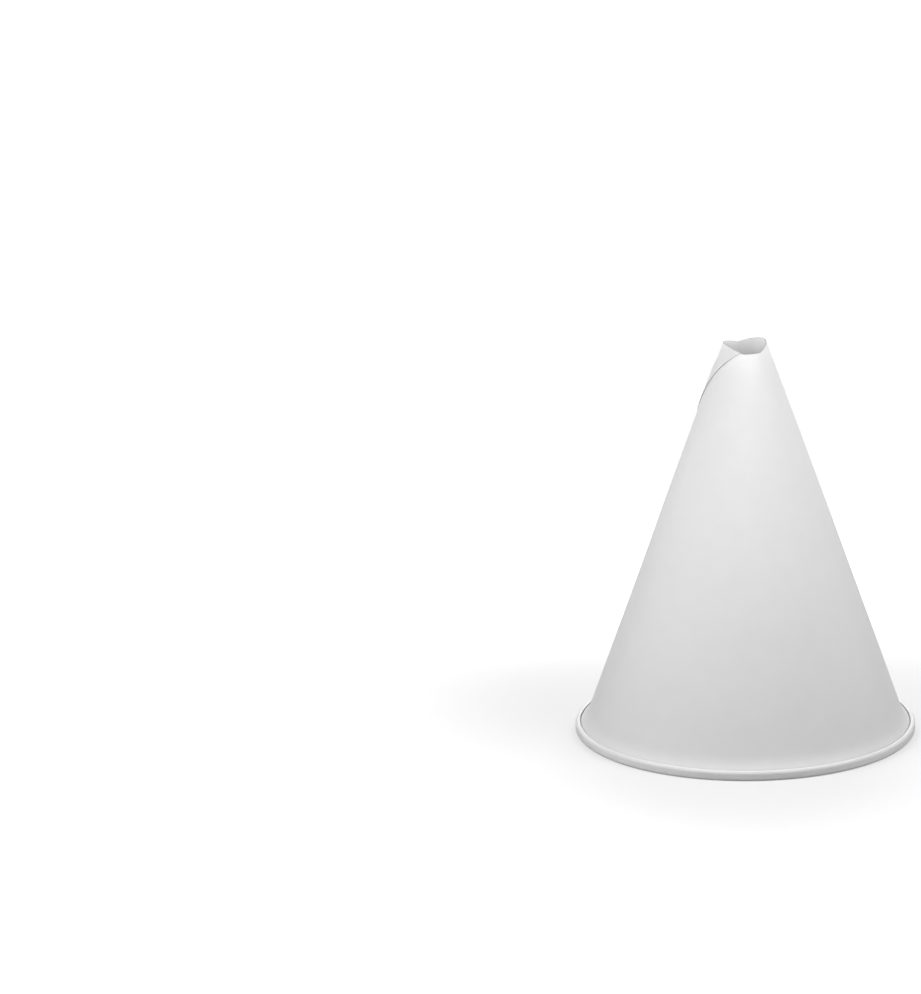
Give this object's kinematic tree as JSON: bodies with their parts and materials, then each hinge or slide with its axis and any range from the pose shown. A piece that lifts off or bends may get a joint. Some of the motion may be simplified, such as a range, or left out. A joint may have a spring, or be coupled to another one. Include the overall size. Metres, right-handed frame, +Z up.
{
  "type": "paper funnel",
  "caption": "Cone of wound white paper with a slanting glued lap, a rolled rim that it stands on and a cut-open spout, for pouring liquids or powders.",
  "frame": {"origin": "centre of the rolled rim, on the surface that the funnel stands on", "axes": "+Z up along the cone, from the rolled rim to the spout; -Y to the front, where the seam meets the spout"},
  "size_m": [0.108, 0.108, 0.1274],
  "materials": {
    "white_paper": "matte, uncoated white paper"
  },
  "bodies": {
    "root": {"paper_funnel": "white_paper"}
  },
  "joints": []
}
